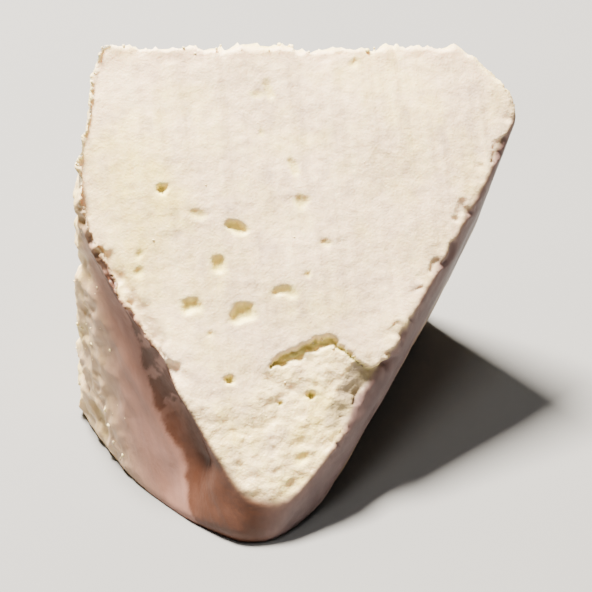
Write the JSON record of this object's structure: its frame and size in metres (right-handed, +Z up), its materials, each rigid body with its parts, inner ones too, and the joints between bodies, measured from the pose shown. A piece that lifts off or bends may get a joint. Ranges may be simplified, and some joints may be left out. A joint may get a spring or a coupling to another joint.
{
  "type": "chunk of sheep milk cheese",
  "caption": "Upright wedge-shaped chunk of soft white sheep's milk cheese with a sloping cut face, small eyes, a crack and smooth skin sides, resting on a flat base.",
  "frame": {"origin": "centre of the bounding box at the flat base", "axes": "+Z up, -Y towards the chunk's tip and the viewer of its sloping cut face, +X to that viewer's right"},
  "size_m": [0.0918, 0.0843, 0.08],
  "materials": {
    "curd": "matte, slightly moist off-white curd with ivory patches, straw-coloured eyes and a smooth grey-white to pinkish skin"
  },
  "bodies": {
    "root": {"cheese": "curd"}
  },
  "joints": []
}
